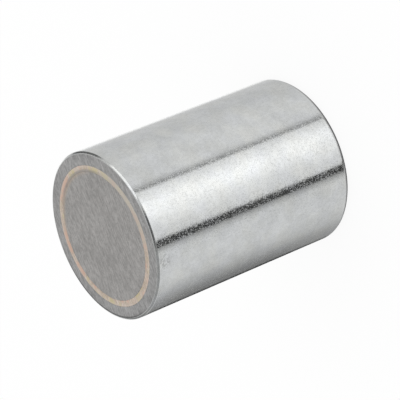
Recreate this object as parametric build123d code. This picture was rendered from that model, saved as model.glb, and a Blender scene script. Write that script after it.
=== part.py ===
from build123d import *
import os

# Deep pot magnet, plain type: a turned steel pot with a solid base, a cast magnet core standing
# on the floor of its blind bore, and a thin brass sleeve that parts the core from the pot's wall.
# The three pieces are ground off together at the open end, so they share one flat holding face.
#
# Frame: millimetres, +Z up along the axis. The origin is the centre of the base's outer face,
# and the holding face is at the top, at z = pot_length.

# ---- Pot ----
pot_diameter = 25.0  # ground outside, a sliding fit in a reamed bore
pot_length = 35.0
wall_thickness = 2.0  # carries the flux back from the base to the rim
base_thickness = 10.0  # solid steel below the core, with spare length that can be turned off
face_chamfer = 0.25  # edge break round the holding face
base_chamfer = 0.5  # lead-in for pushing the pot into its bore
bore_corner_radius = 0.4  # left by the boring tool's nose, round the floor of the bore

# ---- Sleeve ----
sleeve_wall = 0.9  # brass, not magnetic, so it keeps the core and the pot's rim apart

# ---- Fits ----
bond_film = 0.02  # radial gap for the adhesive, on each side of the sleeve
corner_clearance = 0.1  # by which a foot chamfer is larger than the bore's corner radius

# ---- Worked out from the sizes above ----
bore_diameter = pot_diameter - 2 * wall_thickness
bore_floor = base_thickness  # height of the floor that the sleeve and the core stand on
sleeve_outer_diameter = bore_diameter - 2 * bond_film
sleeve_inner_diameter = sleeve_outer_diameter - 2 * sleeve_wall
core_diameter = sleeve_inner_diameter - 2 * bond_film
foot_chamfer = bore_corner_radius + corner_clearance  # on the sleeve and on the core

# ---- Modelling ----
overrun = 1.0  # how far a cutting bar runs past the metal that it cuts


def bar(diameter, bottom, top):
    """A plain round bar on the axis, from one height to another."""
    return Pos(0, 0, bottom) * Cylinder(
        diameter / 2, top - bottom, align=(Align.CENTER, Align.CENTER, Align.MIN)
    )


def rim(shape, height, diameter):
    """The circular edge of a turned piece at that height and diameter."""
    rings = shape.edges().filter_by(GeomType.CIRCLE)
    return rings.sort_by(
        lambda edge: abs(edge.center().Z - height) + abs(edge.radius - diameter / 2)
    )[0]


def turned_pot():
    """The steel pot: turned outside, bored blind from the holding face, one piece with its base."""
    blank = bar(pot_diameter, 0, pot_length)
    blank = chamfer(rim(blank, 0, pot_diameter), base_chamfer)
    blank = chamfer(rim(blank, pot_length, pot_diameter), face_chamfer)
    bore = bar(bore_diameter, bore_floor, pot_length + overrun)
    bore = fillet(rim(bore, bore_floor, bore_diameter), bore_corner_radius)
    return blank - bore


def spacer_sleeve():
    """The brass sleeve, as long as the bore is deep. Its foot is chamfered clear of the bore's corner."""
    tube = bar(sleeve_outer_diameter, bore_floor, pot_length)
    tube = chamfer(rim(tube, bore_floor, sleeve_outer_diameter), foot_chamfer)
    return tube - bar(sleeve_inner_diameter, bore_floor - overrun, pot_length + overrun)


def magnet_core():
    """The cast magnet, a ground rod that stands on the floor of the bore, with its foot edge broken."""
    rod = bar(core_diameter, bore_floor, pot_length)
    return chamfer(rim(rod, bore_floor, core_diameter), foot_chamfer)


os.makedirs("parts", exist_ok=True)
export_step(turned_pot(), "parts/steel_pot.step")
export_step(spacer_sleeve(), "parts/spacer_sleeve.step")
export_step(magnet_core(), "parts/magnet_core.step")
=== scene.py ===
# %% [markdown]
# # A deep pot magnet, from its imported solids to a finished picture
#
# A pot magnet is a strong magnet in a steel cup. The cup, called the pot, leads the field from the
# back of the magnet round to the front, so that nearly all of the pull is at one flat face. This
# one has three pieces: the pot, a rod of cast magnet alloy in its bore, and a thin brass sleeve
# between them, which keeps the two poles apart.
#
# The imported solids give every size. The pieces are turned afresh at those sizes, because polished
# plating needs finer edges and a denser mesh than a solid that is only measured and dropped.

# %% Load the frame
import math
import bmesh
import bpy
from mathutils import Matrix, Vector


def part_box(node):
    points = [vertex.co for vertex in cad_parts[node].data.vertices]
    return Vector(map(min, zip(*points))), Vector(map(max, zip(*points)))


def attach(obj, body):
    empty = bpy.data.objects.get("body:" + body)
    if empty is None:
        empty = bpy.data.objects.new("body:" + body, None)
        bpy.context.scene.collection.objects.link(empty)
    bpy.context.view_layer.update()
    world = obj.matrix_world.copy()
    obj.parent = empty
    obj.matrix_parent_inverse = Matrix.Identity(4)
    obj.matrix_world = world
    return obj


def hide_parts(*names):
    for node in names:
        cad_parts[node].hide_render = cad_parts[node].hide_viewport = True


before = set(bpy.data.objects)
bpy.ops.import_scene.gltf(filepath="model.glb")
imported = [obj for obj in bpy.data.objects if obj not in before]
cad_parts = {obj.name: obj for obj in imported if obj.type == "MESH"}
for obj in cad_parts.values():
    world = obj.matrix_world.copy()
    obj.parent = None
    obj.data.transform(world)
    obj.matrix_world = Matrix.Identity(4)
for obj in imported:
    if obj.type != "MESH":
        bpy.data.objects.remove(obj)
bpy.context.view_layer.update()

print("solids in the frame:", sorted(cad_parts))

# %% [markdown]
# ## Sizes
#
# Lengths are in metres, so a millimetre is a handy unit to multiply by. The outsides come from
# the boxes of the solids. A bore has no box of its own, so its radius is read off the corners of
# the mesh: the smallest radius that any corner has at the open end.

# %% Measure the solids
MM = 0.001
SAME_HEIGHT = 0.01 * MM


def radii_at(node, height):
    """The smallest and the largest radius of a solid's corners at one height."""
    corners = [corner.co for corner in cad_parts[node].data.vertices]
    level = [corner for corner in corners if abs(corner.z - height) < SAME_HEIGHT]
    radii = [math.hypot(corner.x, corner.y) for corner in level]
    return min(radii), max(radii)


pot_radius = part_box("steel_pot")[1].x
pot_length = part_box("steel_pot")[1].z
bore_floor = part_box("magnet_core")[0].z
core_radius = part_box("magnet_core")[1].x
sleeve_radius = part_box("spacer_sleeve")[1].x
sleeve_inner_radius = radii_at("spacer_sleeve", pot_length)[0]
bore_radius, rim_radius = radii_at("steel_pot", pot_length)
base_radius = radii_at("steel_pot", 0)[1]
sleeve_foot_radius = radii_at("spacer_sleeve", bore_floor)[1]
core_foot_radius = radii_at("magnet_core", bore_floor)[1]
print("pot: radius %.2f mm, length %.2f mm" % (pot_radius / MM, pot_length / MM))
print("sleeve: radius %.2f to %.2f mm" % (sleeve_inner_radius / MM, sleeve_radius / MM))
print("core: radius %.2f mm, from %.2f mm up" % (core_radius / MM, bore_floor / MM))

# %% [markdown]
# ## Turning a piece
#
# A round piece is made on a lathe, and Spin is Blender's lathe: it takes half of the section and
# sweeps it round the axis. A full turn needs use_merge, so that the last step is joined to the
# first. Corners on the axis are then merged into one, and the normals are made to face out.
#
# An edge is broken in the same order as in a workshop, after the turning. Bevel with one segment
# is a chamfer, and with more segments it is a round.

# %% The lathe
STEPS_ROUND = 480
SAME_POINT = 0.001 * MM


def turn(outline):
    """A closed solid of revolution from half of its section, given as (radius, height) corners."""
    shape = bmesh.new()
    corners = [shape.verts.new((radius, 0, height)) for radius, height in outline]
    for here, following in zip(corners, corners[1:] + corners[:1]):
        if here.co.x > 0 or following.co.x > 0:
            shape.edges.new((here, following))
    bmesh.ops.spin(shape, geom=shape.verts[:] + shape.edges[:], cent=(0, 0, 0), axis=(0, 0, 1),
                   angle=2 * math.pi, steps=STEPS_ROUND, use_merge=True)
    bmesh.ops.remove_doubles(shape, verts=shape.verts[:], dist=SAME_POINT)
    bmesh.ops.recalc_face_normals(shape, faces=shape.faces[:])
    return shape


def hoop(shape, radius, height):
    """The edges of the circle at one radius and height."""
    def on_it(corner):
        off_radius = abs(math.hypot(corner.co.x, corner.co.y) - radius)
        off_height = abs(corner.co.z - height)
        return off_radius < SAME_POINT and off_height < SAME_POINT
    return [edge for edge in shape.edges if all(on_it(corner) for corner in edge.verts)]


def break_edge(shape, radius, height, width, segments=1):
    """Takes the corner off one circle: a plain chamfer, or a round one with more segments."""
    bmesh.ops.bevel(shape, geom=hoop(shape, radius, height), affect="EDGES", offset=width,
                    offset_type="OFFSET", segments=segments, profile=0.5, material=-1)


print("the lathe takes %d steps for a full turn" % STEPS_ROUND)

# %% [markdown]
# ## The pot
#
# The pot is turned from bar and bored from one end. A plain chamfer breaks each outer edge, and
# the boring tool leaves a small radius round the floor of the bore. Tumbling and plating then
# round every edge a little more. Those rounds are under a tenth of a millimetre, apart from the
# one above the base chamfer, which use has worn to a third. They are what draws the thin dark and
# bright lines round each end of a plated part.

# %% Turn the pot
BORE_CORNER = 0.4 * MM
EDGE_ROUND = 0.05 * MM
RIM_ROUND = 0.07 * MM
FOOT_ROUND = 0.33 * MM
ROUND_SEGMENTS = 3

face_chamfer = pot_radius - rim_radius
base_chamfer = pot_radius - base_radius
pot = turn([(0, 0), (pot_radius, 0), (pot_radius, pot_length), (bore_radius, pot_length),
            (bore_radius, bore_floor), (0, bore_floor)])
break_edge(pot, pot_radius, 0, base_chamfer)
break_edge(pot, pot_radius, pot_length, face_chamfer)
break_edge(pot, bore_radius, bore_floor, BORE_CORNER, ROUND_SEGMENTS)
for radius, height, width in (
    (base_radius, 0, EDGE_ROUND),
    (pot_radius, base_chamfer, FOOT_ROUND),
    (pot_radius, pot_length - face_chamfer, EDGE_ROUND),
    (rim_radius, pot_length, RIM_ROUND),
):
    break_edge(pot, radius, height, width, ROUND_SEGMENTS)
print("pot turned, chamfers %.2f and %.2f mm" % (face_chamfer / MM, base_chamfer / MM))

# %% [markdown]
# ## The sleeve and the core
#
# Both stand on the floor of the bore, so the outer edge of each foot is chamfered to clear its
# corner. Their top ends are ground off together with the pot's rim, which leaves those sharp.

# %% Turn the sleeve and the core
sleeve = turn([(sleeve_inner_radius, bore_floor), (sleeve_radius, bore_floor),
               (sleeve_radius, pot_length), (sleeve_inner_radius, pot_length)])
break_edge(sleeve, sleeve_radius, bore_floor, sleeve_radius - sleeve_foot_radius)

core = turn([(0, bore_floor), (core_radius, bore_floor), (core_radius, pot_length),
             (0, pot_length)])
break_edge(core, core_radius, bore_floor, core_radius - core_foot_radius)
print("sleeve and core turned, feet chamfered", round((core_radius - core_foot_radius) / MM, 2))

# %% [markdown]
# ## From shapes to pieces
#
# Smooth shading alone would bend the light on the flat faces, so every edge sharper than 30
# degrees is marked sharp, and a Weighted Normal modifier lets the large faces win on the rounds.
# Each piece rides on the part's one body and stands for the solid that it was measured from.

# %% Place the pieces
SHARP_ANGLE = math.radians(30)


def place_piece(name, shape, node):
    """Makes a finished shape an object that rides on the part and stands for its solid."""
    mesh = bpy.data.meshes.new(name)
    shape.to_mesh(mesh)
    shape.free()
    mesh.shade_smooth()
    mesh.set_sharp_from_angle(angle=SHARP_ANGLE)
    piece = bpy.data.objects.new(name, mesh)
    bpy.context.scene.collection.objects.link(piece)
    weighted = piece.modifiers.new("flat faces stay flat", "WEIGHTED_NORMAL")
    weighted.weight = 100
    weighted.keep_sharp = True
    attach(piece, "root")
    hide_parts(node)
    print(name, "has", len(mesh.polygons), "faces")
    return piece


pot_piece = place_piece("pot_shell", pot, "steel_pot")
sleeve_piece = place_piece("sleeve_ring", sleeve, "spacer_sleeve")
core_piece = place_piece("core_rod", core, "magnet_core")

# %% [markdown]
# ## Writing finishes as sums
#
# A finish is a tree of nodes, and dozens of Math nodes wired by hand are hard to read. A Signal
# wraps a socket, and Python's own operators on it add the nodes: 1 - mask becomes a Subtract
# node.


# %% Signals
class Signal:
    """A value in a node tree that takes part in sums."""

    def __init__(self, bench, socket):
        self.bench = bench
        self.socket = socket

    def __add__(self, other):
        return self.bench.math("ADD", self, other)

    def __sub__(self, other):
        return self.bench.math("SUBTRACT", self, other)

    def __rsub__(self, other):
        return self.bench.math("SUBTRACT", other, self)

    def __mul__(self, other):
        return self.bench.math("MULTIPLY", self, other)

    def __truediv__(self, other):
        return self.bench.math("DIVIDE", self, other)

    __radd__ = __add__
    __rmul__ = __mul__


print("a Signal turns +, -, * and / into Math nodes")

# %% [markdown]
# A bench stands for one tree and wires its nodes. Any node comes from one method, which takes its
# type, its settings and its inputs. Settings are made first, because they decide which sockets
# the node has. Two kinds of node are needed so often that they get a method of their own: a
# smooth rise from 0 to 1, and a blend of two colours.


# %% The bench
class Bench:
    """Adds nodes to one tree."""

    def __init__(self, tree):
        self.tree = tree

    def node(self, kind, settings=None, inputs=None, output=0):
        """Adds a node, sets it up, feeds it, and returns one of its outputs."""
        node = self.tree.nodes.new(kind)
        for name, value in (settings or {}).items():
            setattr(node, name, value)
        for name, value in (inputs or {}).items():
            self.feed(node.inputs[name], value)
        return Signal(self, node.outputs[output]) if node.outputs else None

    def feed(self, socket, value):
        """Links a signal to a socket, or sets the socket's own value."""
        if isinstance(value, Signal):
            self.tree.links.new(value.socket, socket)
        else:
            socket.default_value = value

    def math(self, operation, *values):
        """A Math node on one or two values."""
        return self.node("ShaderNodeMath", {"operation": operation}, dict(enumerate(values)))

    def rise(self, value, start, end):
        """0 before start, 1 after end, and a smooth rise between."""
        return self.node("ShaderNodeMapRange", {"interpolation_type": "SMOOTHSTEP"},
                         {"Value": value, "From Min": start, "From Max": end})

    def blend(self, mask, first, second):
        """A colour that goes from first to second with the mask."""
        factor, colour_a, colour_b, colour_out = 0, 6, 7, 2
        return self.node("ShaderNodeMix", {"data_type": "RGBA"},
                         {factor: mask, colour_a: first, colour_b: second}, output=colour_out)


print("the bench wires nodes")

# %% [markdown]
# ## What every finish needs
#
# Patterns on metal have real sizes, so a finish starts from the place on the piece in
# millimetres. On a turned part it is also handy to know how far out from the axis a point is and
# which side of the part it is on.


# %% Finishes
class Finish(Bench):
    """A metal's material, with places and distances in millimetres."""

    def __init__(self, name):
        self.material = bpy.data.materials.new(name)
        self.material.use_nodes = True
        super().__init__(self.material.node_tree)
        self.shader = self.tree.nodes["Principled BSDF"]
        metres = self.node("ShaderNodeTexCoord", output="Object")
        self.place = self.node("ShaderNodeVectorMath", {"operation": "SCALE"},
                               {"Vector": metres, "Scale": 1 / MM})

    def set(self, **sockets):
        """Sets the shader's sockets: Base_Color stands for Base Color, and so on."""
        for name, value in sockets.items():
            self.feed(self.shader.inputs[name.replace("_", " ")], value)

    def grain(self, size, detail=2.0, place=None):
        """Soft random patches about as wide as size, in millimetres, from 0 to 1."""
        return self.node("ShaderNodeTexNoise", inputs={
            "Vector": place or self.place, "Scale": 1 / size, "Detail": detail})

    def bump(self, relief):
        """Turns a relief in millimetres into shading."""
        return self.node("ShaderNodeBump", inputs={"Height": relief, "Distance": MM})

    def measure(self, operation, first, second):
        """One number from two vectors, such as the distance between them."""
        return self.node("ShaderNodeVectorMath", {"operation": operation},
                         {0: first, 1: second}, output="Value")

    def out_from_axis(self):
        """How far from the part's axis a point is."""
        flat = self.node("ShaderNodeVectorMath", {"operation": "MULTIPLY"},
                         {0: self.place, 1: (1, 1, 0)})
        return self.measure("DISTANCE", flat, (0, 0, 0))

    def height(self):
        """How far above the base a point is."""
        return self.node("ShaderNodeSeparateXYZ", inputs={0: self.place}, output="Z")

    def faces(self, azimuth):
        """1 on the side of the part that the azimuth points to, and -1 on the far side."""
        turned = math.radians(azimuth)
        reach = self.measure("DOT_PRODUCT", self.place, (math.cos(turned), math.sin(turned), 0))
        return reach / self.out_from_axis()

    def near(self, spot, size):
        """1 at a spot, falling to 0 at a distance of size."""
        return self.rise(self.measure("DISTANCE", self.place, spot), size, 0)


print("a finish knows its place in millimetres")

# %% [markdown]
# ## Bright zinc plating
#
# Zinc goes on over the ground steel as a film a few hundredths of a millimetre thick, and a clear
# passivating dip leaves faint blue, green and yellow casts. It is nearly a mirror, but it grows in
# grains. Most of its surface shows a crisp reflection, and scattered specks of rougher zinc
# show only the average of all that stands round the part. So the specks are bright in a dark
# reflection and dark in a bright one, which no bump or colour alone would do: they have to be
# in the roughness.

# %% Casts and specks
ZINC = (0.784, 0.800, 0.795, 1)
ZINC_BLUE = (0.779, 0.796, 0.808, 1)
ZINC_YELLOW = (0.797, 0.806, 0.787, 1)
CAST_SIZE = 3.0
SPECK_SIZE = 0.17

zinc = Finish("bright_zinc_plating")
cast = zinc.grain(CAST_SIZE)
colour = zinc.blend(zinc.rise(cast, 0.45, 0.70), ZINC, ZINC_BLUE)
colour = zinc.blend(zinc.rise(cast, 0.55, 0.30), colour, ZINC_YELLOW)
fine_grain = zinc.grain(SPECK_SIZE, detail=1.0)
specks = zinc.rise(fine_grain, 0.45, 0.70)
print("zinc has casts of %.1f mm and specks of %.2f mm" % (CAST_SIZE, SPECK_SIZE))

# %% [markdown]
# The bath leaves its marks as well, and each is a little darker than clean zinc. Wide drifts come
# from the way the part hung in it, clouds from its stirring, and small stains from the rinse. All
# of them, and the specks a little, pull the colour towards one darker zinc.

# %% Marks of the bath
ZINC_STAIN = (0.45, 0.46, 0.46, 1)
DRIFT_SIZE = 7.0
CLOUD_SIZE = 2.0
STAIN_SIZE = 0.45
SPECK_SHARE = 0.05
DRIFT_SHARE = 0.10
CLOUD_SHARE = 0.17
STAIN_SHARE = 0.15

clouds = zinc.rise(zinc.grain(CLOUD_SIZE, detail=3.0), 0.35, 0.65)
stains = zinc.rise(zinc.grain(STAIN_SIZE, detail=2.0), 0.35, 0.65)
drifts = zinc.rise(zinc.grain(DRIFT_SIZE, detail=1.0), 0.35, 0.65)
marks = (specks * SPECK_SHARE + drifts * DRIFT_SHARE + clouds * CLOUD_SHARE
         + stains * STAIN_SHARE)
colour = zinc.blend(marks, colour, ZINC_STAIN)
print("marks darken the zinc by at most %.0f%% of the way to a stain"
      % (100 * (SPECK_SHARE + DRIFT_SHARE + CLOUD_SHARE + STAIN_SHARE)))

# %% [markdown]
# Handling leaves its own marks. Near the holding face a knock against something dark has rubbed
# the bright film off in one small patch, and the noise in the patch gives it a ragged edge. The
# rounded foot is darkened all the way round with painted shade, which stands in for the contact
# shadow.

# %% A rubbed patch and painted shade on the foot
# dark zinc for the rubbed patch, and for the painted shade on the foot
ZINC_RUBBED_AND_FOOT_SHADE = (0.25, 0.25, 0.25, 1)
RUB_AZIMUTH = math.radians(-121)
RUB_BELOW_FACE = 1.2
RUB_SIZE = 1.8
RAGGED_SIZE = 0.35
RUB_SHARE = 0.45
# painted shade: the rounded foot darkened all the way round, in place of the contact shadow
FOOT_SHADE_TOP = (base_chamfer + FOOT_ROUND) / MM
FOOT_SHADE_FULL = base_chamfer / MM
FOOT_SHADE_WIDTH = 0.2
FOOT_SHADE_SHARE = 0.85

rub_spot = (math.cos(RUB_AZIMUTH) * pot_radius / MM, math.sin(RUB_AZIMUTH) * pot_radius / MM,
            pot_length / MM - RUB_BELOW_FACE)
rubbed = zinc.near(rub_spot, RUB_SIZE) * zinc.rise(zinc.grain(RAGGED_SIZE), 0.40, 0.60)
colour = zinc.blend(rubbed * RUB_SHARE, colour, ZINC_RUBBED_AND_FOOT_SHADE)
base_edge = base_radius / MM
# painted shade on the foot, not wear
painted_foot_shade = (zinc.rise(zinc.height(), FOOT_SHADE_TOP, FOOT_SHADE_FULL)
             * zinc.rise(zinc.out_from_axis(), base_edge, base_edge + FOOT_SHADE_WIDTH))
colour = zinc.blend(painted_foot_shade * FOOT_SHADE_SHARE, colour, ZINC_RUBBED_AND_FOOT_SHADE)
print("rubbed at", [round(value, 1) for value in rub_spot], "mm")

# %% [markdown]
# Last come the roughness, which carries the specks, and a relief of a few thousandths of a
# millimetre: the grain itself, and slow waves that the film fills only in part.

# %% Roughness and relief of the plating
MIRROR_ROUGHNESS = 0.08
SPECK_ROUGHNESS = 0.31
RUBBED_ROUGHNESS = 0.30
WAVE_SIZE = 2.2
GRAIN_DEPTH = 0.004
WAVE_DEPTH = 0.006

relief = fine_grain * GRAIN_DEPTH + zinc.grain(WAVE_SIZE, detail=1.0) * WAVE_DEPTH
zinc.set(Metallic=1.0, Base_Color=colour,
         Roughness=MIRROR_ROUGHNESS + specks * (SPECK_ROUGHNESS - MIRROR_ROUGHNESS)
         + rubbed * (RUBBED_ROUGHNESS - MIRROR_ROUGHNESS),
         Normal=zinc.bump(relief))
print("zinc plating has", len(zinc.tree.nodes), "nodes")

# %% [markdown]
# ## The ground face
#
# The open end was finished on a surface grinder, so short straight scratches run across all three
# pieces in one direction. They share one stretched pattern, and each metal has its own pair of
# colours, which it drifts between. Grinding also opens small pits, which show as dark specks.

# %% Ground metal
SCRATCH_DIRECTION = math.radians(-4)
SCRATCH_LENGTH = 1.4
SCRATCH_WIDTH = 0.25
SCRATCH_SHARE = 0.55
SCRATCH_DEPTH = 0.010
SCRATCH_ROUGHNESS = 0.1
PATCH_SIZE = 0.6
PATCH_SHARE = 0.25
BROAD_SIZE = 4.0
BROAD_SHARE = 0.2
PIT = (0.16, 0.16, 0.16, 1)
PIT_SIZE = 0.22
PIT_SHARE = 0.45
TOOTH_SIZE = 0.25
TOOTH_DEPTH = 0.010


class GroundFinish(Finish):
    """Metal from the surface grinder, mottled between two colours."""

    def __init__(self, name, dull, bright, roughness):
        super().__init__(name)
        turned = self.node("ShaderNodeMapping", {"vector_type": "TEXTURE"}, {
            "Vector": self.place, "Rotation": (0, 0, SCRATCH_DIRECTION),
            "Scale": (SCRATCH_LENGTH, SCRATCH_WIDTH, 1)})
        self.scratches = self.grain(1.0, place=turned)
        self.roughness = roughness
        broad = self.rise(self.grain(BROAD_SIZE, detail=1.0), 0.30, 0.70)
        patches = self.rise(self.grain(PATCH_SIZE, detail=3.0), 0.35, 0.65)
        streaks = self.rise(self.scratches, 0.35, 0.65)
        brightness = broad * BROAD_SHARE + patches * PATCH_SHARE + streaks * SCRATCH_SHARE
        self.tint = self.blend(brightness, dull, bright)
        pits = self.rise(self.grain(PIT_SIZE, detail=1.0), 0.55, 0.78)
        self.tint = self.blend(pits * PIT_SHARE, self.tint, PIT)

    def smear(self, mask, colour):
        """Lays another colour over the ground surface, for smears of metal, tints and painted
        shade.
        """
        self.tint = self.blend(mask, self.tint, colour)

    def finish(self):
        """Feeds the shader, once the colour is complete."""
        relief = self.scratches * SCRATCH_DEPTH + self.grain(TOOTH_SIZE) * TOOTH_DEPTH
        self.set(Metallic=1.0, Base_Color=self.tint,
                 Roughness=self.roughness + self.scratches * SCRATCH_ROUGHNESS,
                 Normal=self.bump(relief))
        print(self.material.name, "has", len(self.tree.nodes), "nodes")
        return self.material


print("scratches are %.1f mm long and %.2f mm wide" % (SCRATCH_LENGTH, SCRATCH_WIDTH))

# %% [markdown]
# The pot's rim is the plainest of the three. Along one side of it a thin dark line of painted shade
# runs just inside the edge.

# %% The steel of the rim
STEEL_DULL = (0.33, 0.328, 0.325, 1)
STEEL_BRIGHT = (0.62, 0.615, 0.61, 1)
# painted shade: a thin dark line just inside the rim's edge on one side
EDGE_SHADE_AZIMUTH = 142
EDGE_SHADE_STARTS = 0.40
EDGE_SHADE_FULL = 0.12

rim_steel = GroundFinish("ground_steel_rim", STEEL_DULL, STEEL_BRIGHT, roughness=0.40)
rim_edge = rim_radius / MM
# the band where the painted shade lies, just inside the edge
edge_shade_band = rim_steel.rise(rim_steel.out_from_axis(), rim_edge - EDGE_SHADE_STARTS,
                            rim_edge - EDGE_SHADE_FULL)
rim_steel.smear(edge_shade_band * rim_steel.rise(rim_steel.faces(EDGE_SHADE_AZIMUTH), 0.50, 0.90), PIT)
# the thin dark line is painted shade
print("painted edge shade lies %.2f mm inside the rim's edge" % EDGE_SHADE_FULL)

# %% [markdown]
# The wheel drags soft brass along with it. On one side of the core a little of it is smeared over
# the hard magnet. The scratches move the smear's border to and fro, which makes it ragged.

# %% The magnet alloy of the core
MAGNET_DULL = (0.385, 0.375, 0.365, 1)
MAGNET_BRIGHT = (0.63, 0.615, 0.60, 1)
BRASS_DULL = (0.63, 0.505, 0.39, 1)
SMEAR_AZIMUTH = 30
SMEAR_REACH = 0.35
SMEAR_RAGGED = 0.6
SMEAR_SHARE = 0.6

magnet = GroundFinish("ground_magnet_alloy", MAGNET_DULL, MAGNET_BRIGHT, roughness=0.42)
core_edge = core_radius / MM
near_edge = magnet.rise(magnet.out_from_axis() + magnet.scratches * SMEAR_RAGGED,
                        core_edge - SMEAR_REACH, core_edge + SMEAR_REACH)
on_side = magnet.rise(magnet.faces(SMEAR_AZIMUTH), 0.55, 0.95)
magnet.smear(near_edge * on_side * SMEAR_SHARE, BRASS_DULL)
print("brass is smeared over the core's edge on the side of %d degrees" % SMEAR_AZIMUTH)

# %% [markdown]
# Ground brass isn't one colour: its tint drifts to pink and to yellow. The outer edge of the ring
# stays the brightest, because the pot's rim holds it up to the wheel. On one side the inner edge is
# darkened with painted shade, and a stretch of the ring has gone pale under a film of magnet dust.

# %% The brass of the ring
BRASS_BRIGHT = (0.93, 0.82, 0.73, 1)
BRASS_PINK = (0.86, 0.59, 0.47, 1)
BRASS_YELLOW = (0.79, 0.70, 0.43, 1)
BRASS_PALE = (0.70, 0.67, 0.60, 1)
TINT_SIZE = 2.4
TINT_SHARE = 0.8
POLISH_STARTS = 0.45
POLISH_SHARE = 0.4
# painted shade on one side of the ring's inner edge
INNER_SHADE_AZIMUTH = 5
INNER_SHADE_WIDTH = 0.35
INNER_SHADE_RAGGED = 0.3
INNER_SHADE_SHARE = 0.7
PALE_AZIMUTH = 287
PALE_SHARE = 0.6

brass = GroundFinish("ground_brass", BRASS_DULL, BRASS_BRIGHT, roughness=0.38)
drift = brass.grain(TINT_SIZE)
brass.smear(brass.rise(drift, 0.50, 0.62) * TINT_SHARE, BRASS_PINK)
brass.smear(brass.rise(drift, 0.46, 0.34) * TINT_SHARE, BRASS_YELLOW)
inner_edge = sleeve_inner_radius / MM
outer_edge = sleeve_radius / MM
polished = brass.rise(brass.out_from_axis(), inner_edge + POLISH_STARTS, outer_edge)
brass.smear(polished * POLISH_SHARE, BRASS_BRIGHT)
# painted shade: the inner edge of the ring darkened on one side, not dust
painted_inner_shade = (brass.rise(brass.out_from_axis() - brass.scratches * INNER_SHADE_RAGGED,
                    inner_edge + INNER_SHADE_WIDTH, inner_edge)
         * brass.rise(brass.faces(INNER_SHADE_AZIMUTH), 0.6, 0.95))
brass.smear(painted_inner_shade * INNER_SHADE_SHARE, MAGNET_DULL)
brass.smear(brass.rise(brass.faces(PALE_AZIMUTH), 0.65, 0.95) * PALE_SHARE, BRASS_PALE)
print("the ring is %.2f mm wide" % (outer_edge - inner_edge))

# %% [markdown]
# The pot has two finishes. Its ring of top faces, between the bore and the chamfer, was ground
# after the plating, so those faces take the second one.

# %% Give the pieces their finishes
pot_piece.data.materials.append(zinc.material)
pot_piece.data.materials.append(rim_steel.finish())
sleeve_piece.data.materials.append(brass.finish())
core_piece.data.materials.append(magnet.finish())

GROUND = 1
ground_faces = [face for face in pot_piece.data.polygons
                if face.center.z > pot_length - SAME_POINT]
for face in ground_faces:
    face.material_index = GROUND
print("faces of the pot that are ground:", len(ground_faces))

# %% [markdown]
# ## The studio round the part
#
# Polished metal has hardly a colour of its own: it shows what stands round it. A photographer
# lights such a part with white and black cards, and moves them until each reflection falls in
# the right place. Here the cards are drawn in the world, where a direction is all there is: a
# card is a range of compass directions, and a lamp head is a round patch of sky. Only glossy
# rays see them. The camera and plain surfaces see an even white.

# %% Directions
world = bpy.data.worlds.new("studio")
world.use_nodes = True
bpy.context.scene.world = world
studio = Bench(world.node_tree)
direction = studio.node("ShaderNodeTexCoord", output="Generated")
east = studio.node("ShaderNodeSeparateXYZ", inputs={0: direction}, output="X")
north = studio.node("ShaderNodeSeparateXYZ", inputs={0: direction}, output="Y")
up = studio.node("ShaderNodeSeparateXYZ", inputs={0: direction}, output="Z")


def unit(azimuth, elevation):
    """The direction with that compass azimuth and elevation, in degrees."""
    turned = math.radians(azimuth)
    raised = math.radians(elevation)
    return Vector((math.cos(turned) * math.cos(raised), math.sin(turned) * math.cos(raised),
                   math.sin(raised)))


print("straight up is", tuple(round(value, 3) for value in unit(0, 90)))

# %% [markdown]
# A card and a patch are both masks over the directions, and each is painted over what already
# hangs there. Their edges are soft, because a plated surface shows no hard ones.

# %% Cards and patches
STRAIGHT_DOWN = -90


def paint(light, mask, level):
    """The light, with a new level where the mask is 1."""
    return light + mask * (level - light)


def hang_card(light, start, start_soft, end, end_soft, level,
              foot=STRAIGHT_DOWN, top=0, cut_soft=1, density=1):
    """Hangs a card from one azimuth anticlockwise to another.

    Azimuths, elevations and softness are in degrees. Foot and top are the elevations where the
    card is cut off, and a density under 1 lets what hangs behind it show through.
    """
    middle = unit((start + end) / 2, 0)
    along = east * middle.x + north * middle.y
    across = north * middle.x - east * middle.y
    turned = studio.math("ARCTAN2", across, along) * math.degrees(1)
    reach = (end - start) / 2
    mask = (studio.rise(turned, -reach - start_soft, start_soft - reach)
            * studio.rise(turned, reach + end_soft, reach - end_soft))
    if foot > STRAIGHT_DOWN:
        mask = mask * studio.rise(up, unit(0, foot - cut_soft).z, unit(0, foot + cut_soft).z)
    if top < 0:
        mask = mask * studio.rise(up, unit(0, top + cut_soft).z, unit(0, top - cut_soft).z)
    if density < 1:
        mask = mask * density
    return paint(light, mask, level)


def hang_disc(light, azimuth, elevation, half_width, soft, level):
    """Paints a round patch in one direction. Its half width and softness are in degrees."""
    middle = unit(azimuth, elevation)
    closeness = east * middle.x + north * middle.y + up * middle.z
    mask = studio.rise(closeness, math.cos(math.radians(half_width + soft)),
                       math.cos(math.radians(half_width - soft)))
    return paint(light, mask, level)


print("the studio is empty and ready")

# %% [markdown]
# The pot stands upright and is looked at from above, so its side mirrors what is below the
# horizon. That makes the long bands: a broad bright key band between two dark lines, grey fill on
# both sides, and darkness towards the far edge. Each card is one band, and a later card hangs in
# front of the earlier ones.
#
# The top of the side mirrors a little higher up than its foot does. A card that is cut off there
# darkens the band towards one end only, and a thin veil does the same without a hard end.

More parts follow.
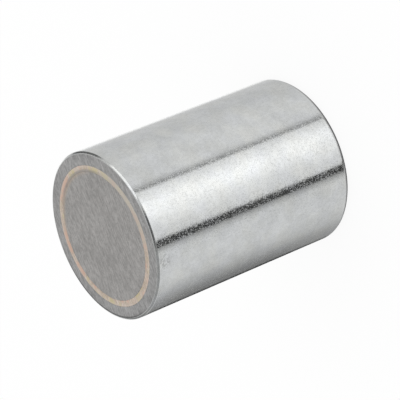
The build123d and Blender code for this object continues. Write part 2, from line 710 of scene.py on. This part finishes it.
# %% Cards below the horizon
CARDS_BELOW = (
    # fill on the left, brighter near the key, and a white sheet behind the part
    dict(start=-56, start_soft=1, end=67, end_soft=5, level=0.67),
    dict(start=-60, start_soft=1, end=6, end_soft=22, level=0.79),
    dict(start=69, start_soft=4.5, end=86.5, end_soft=1.5, level=1.04),
    # the key band, its bright middle, and the grey that dulls it near the foot
    dict(start=-118, start_soft=2, end=-54.1, end_soft=0.5, level=0.84),
    dict(start=-97, start_soft=20, end=-62, end_soft=15, level=1.27),
    dict(start=-114, start_soft=5, end=-57, end_soft=3, level=0.60, foot=-48, top=-39.2,
         cut_soft=1.8),
    # the thin seam above the key band
    dict(start=-53.8, start_soft=0.5, end=-48.5, end_soft=6.5, level=0.23),
    # the black flag below the key band, with its shade
    dict(start=-136.5, start_soft=6.0, end=-121.5, end_soft=0.5, level=0.43),
    dict(start=-131.1, start_soft=1.2, end=-121.3, end_soft=0.5, level=0.05),
    # the dark side of the room, darkest right behind the part
    dict(start=92, start_soft=2, end=154, end_soft=34, level=0.215, top=-27),
    dict(start=87.5, start_soft=1.5, end=112, end_soft=6, level=0.0, top=-27),
    # thin veils that lift the darkness at the ends and leave its middle
    dict(start=104, start_soft=10, end=205, end_soft=12, level=0.85, density=0.22,
         top=-34.2, cut_soft=0.5),
    dict(start=104, start_soft=10, end=205, end_soft=12, level=0.85, density=0.24,
         foot=-30.5, cut_soft=0.7),
)
print("cards below the horizon:", len(CARDS_BELOW))

# %% [markdown]
# A chamfer or a flat face mirrors one small patch of the surroundings, so round patches are
# enough for them. The foot sees far down, the holding face sees above the horizon, and the front
# chamfer sees along it.

# %% Round patches
DISCS_BELOW = (
    # shade straight below, and dark floor behind the part
    dict(azimuth=90, elevation=-84, half_width=22, soft=8, level=0.42),
    dict(azimuth=90, elevation=-60, half_width=15, soft=5, level=0.16),
)
DISCS_ABOVE = (
    # dark furniture on the right, and the dim far wall
    dict(azimuth=38, elevation=13, half_width=22, soft=6, level=0.14),
    dict(azimuth=-172, elevation=27, half_width=58, soft=9, level=0.35),
    # the camera and whoever stands behind it
    dict(azimuth=-107, elevation=57, half_width=17, soft=9, level=0.12),
)
DISCS_ACROSS = (
    # dark corners of the room on the horizon, on both sides of the white sheet
    dict(azimuth=47, elevation=3, half_width=9, soft=4, level=0.12),
    dict(azimuth=114, elevation=3, half_width=20, soft=5, level=0.24),
)
print("round patches:", len(DISCS_BELOW) + len(DISCS_ABOVE) + len(DISCS_ACROSS))

# %% [markdown]
# The surroundings start as two even greys, one below the horizon and one above it. The cards and
# patches are painted on their own half, the halves are joined in a narrow soft line, and the
# patches that lie across that line come last.

# %% Hang the cards
LEVEL_BELOW = 0.75
LEVEL_ABOVE = 0.66
HORIZON_SOFT = 0.03

below = LEVEL_BELOW
for card in CARDS_BELOW:
    below = hang_card(below, **card)
for disc in DISCS_BELOW:
    below = hang_disc(below, **disc)
above = LEVEL_ABOVE
for disc in DISCS_ABOVE:
    above = hang_disc(above, **disc)
reflected = paint(below, studio.rise(up, -HORIZON_SOFT, HORIZON_SOFT), above)
for disc in DISCS_ACROSS:
    reflected = hang_disc(reflected, **disc)
print("the world has", len(studio.tree.nodes), "nodes")

# %% [markdown]
# Light Path tells what kind of ray looks at the world. A glossy ray gets the painted
# surroundings, and any other gets white. Plain surfaces get a little less, because a lamp adds
# the rest, so that together they still come to about 1 and a colour renders about as it is
# written.

# %% The world's strength
LAMP_SHARE = 0.05

light_path = studio.tree.nodes.new("ShaderNodeLightPath")
glossy_ray = Signal(studio, light_path.outputs["Is Glossy Ray"])
diffuse_ray = Signal(studio, light_path.outputs["Is Diffuse Ray"])
strength = 1 + glossy_ray * (reflected - 1) - diffuse_ray * LAMP_SHARE
background = studio.tree.nodes["Background"]
background.inputs["Color"].default_value = (1, 1, 1, 1)
studio.feed(background.inputs["Strength"], strength)
print("the world gives plain surfaces a level of", 1 - LAMP_SHARE)

# %% [markdown]
# One real lamp, a soft disc, gives the white glint on the front edge and a direction to the
# shadow. Its power is worked out from the level at which it should look, because a lamp of one
# level looks as bright at any size. In a mirror its level is added to that of the sky behind it.

# %% The key lamp
LAMP_AZIMUTH = -22
LAMP_ELEVATION = 46.5
LAMP_HALF_WIDTH = math.radians(21.5)
LAMP_DISTANCE = 0.6
LAMP_LEVEL = 0.56

lamp_data = bpy.data.lights.new("key_lamp", "AREA")
lamp_radius = LAMP_DISTANCE * math.tan(LAMP_HALF_WIDTH)
lamp_data.shape = "DISK"
lamp_data.size = 2 * lamp_radius
lamp_data.energy = LAMP_LEVEL * math.pi * (math.pi * lamp_radius ** 2)
lamp = bpy.data.objects.new("key_lamp", lamp_data)
bpy.context.scene.collection.objects.link(lamp)
towards_lamp = unit(LAMP_AZIMUTH, LAMP_ELEVATION)
lamp.location = Vector((0, 0, pot_length)) + towards_lamp * LAMP_DISTANCE
lamp.rotation_euler = towards_lamp.to_track_quat("Z", "Y").to_euler()
lamp.visible_camera = False
print("key lamp: %.0f mm across, %.2f W" % (lamp_data.size / MM, lamp_data.energy))

# %% [markdown]
# ## The floor
#
# The floor is a plain white sheet. For the camera it is mostly its own even glow, so that it comes
# out as white paper, and the part that is lit keeps the soft shadow under the pot. The plating
# must see the cards and not the sheet, so the floor is hidden from glossy rays. Seen from below
# it is clear, which keeps the base in view.

# %% Lay the floor
FLOOR_HALF_SIZE = 1.5
FLOOR_GLOW = 0.9
PAPER_WHITE = 1.0
FLOOR_WHITE = (0.97, 0.97, 0.97, 1)

sheet = bmesh.new()
bmesh.ops.create_grid(sheet, x_segments=1, y_segments=1, size=FLOOR_HALF_SIZE)
floor_mesh = bpy.data.meshes.new("floor")
sheet.to_mesh(floor_mesh)
sheet.free()
floor = bpy.data.objects.new("floor", floor_mesh)
bpy.context.scene.collection.objects.link(floor)
floor.visible_glossy = False

paper = bpy.data.materials.new("white_floor_sheet")
paper.use_nodes = True
paper.node_tree.nodes.clear()
paper_bench = Bench(paper.node_tree)
lit = paper_bench.node("ShaderNodeBsdfDiffuse", inputs={"Color": FLOOR_WHITE})
glow = paper_bench.node("ShaderNodeEmission", inputs={"Strength": PAPER_WHITE})
camera_ray = paper_bench.node("ShaderNodeLightPath", output="Is Camera Ray")
seen = paper_bench.node("ShaderNodeMixShader", inputs={0: camera_ray * FLOOR_GLOW, 1: lit, 2: glow})
from_below = paper_bench.node("ShaderNodeNewGeometry", output="Backfacing")
clear = paper_bench.node("ShaderNodeBsdfTransparent")
surface = paper_bench.node("ShaderNodeMixShader", inputs={0: from_below, 1: seen, 2: clear})
paper_bench.node("ShaderNodeOutputMaterial", inputs={"Surface": surface})
floor_mesh.materials.append(paper)
print("floor: %.0f m square" % (2 * FLOOR_HALF_SIZE))

# %% [markdown]
# ## The camera
#
# The part stands on its base, and the picture shows it lying down: the camera looks from above
# and is rolled until the axis slopes across the picture. Its right and up directions are turned
# by the roll, and its place is found from them.

# %% Where the camera stands
VIEW_ELEVATION = 32.52
VIEW_DISTANCE = 363.7 * MM
PICTURE_ROLL = math.radians(112.2)
OFF_RIGHT = 0.163 * MM
OFF_UP = 0.466 * MM

backward = unit(-90, VIEW_ELEVATION)
level_right = Vector((1, 0, 0))
level_up = backward.cross(level_right)
camera_right = level_right * math.cos(PICTURE_ROLL) - level_up * math.sin(PICTURE_ROLL)
camera_up = level_right * math.sin(PICTURE_ROLL) + level_up * math.cos(PICTURE_ROLL)
middle = Vector((0, 0, pot_length / 2))
camera_place = (middle + backward * VIEW_DISTANCE
                - camera_right * OFF_RIGHT - camera_up * OFF_UP)
print("camera at", [round(value / MM, 1) for value in camera_place], "mm")

# %% [markdown]
# The distance is about ten lengths of the part, so the perspective is weak, and a long lens fills
# the picture from there. A camera looks along its own -Z, so the three directions are the columns
# of its matrix as they are.

# %% Set up the camera
LENS = 227.4
SENSOR_WIDTH = 36
NEAREST = 10 * MM

camera_data = bpy.data.cameras.new("camera")
camera_data.lens = LENS
camera_data.sensor_width = SENSOR_WIDTH
camera_data.clip_start = NEAREST
camera = bpy.data.objects.new("camera", camera_data)
bpy.context.scene.collection.objects.link(camera)
camera_axes = Matrix((camera_right, camera_up, backward)).transposed().to_4x4()
camera.matrix_world = Matrix.Translation(camera_place) @ camera_axes
bpy.context.scene.camera = camera
bpy.context.scene.view_settings.view_transform = "Standard"
print("lens: %.1f mm on a sensor of %d mm" % (LENS, SENSOR_WIDTH))
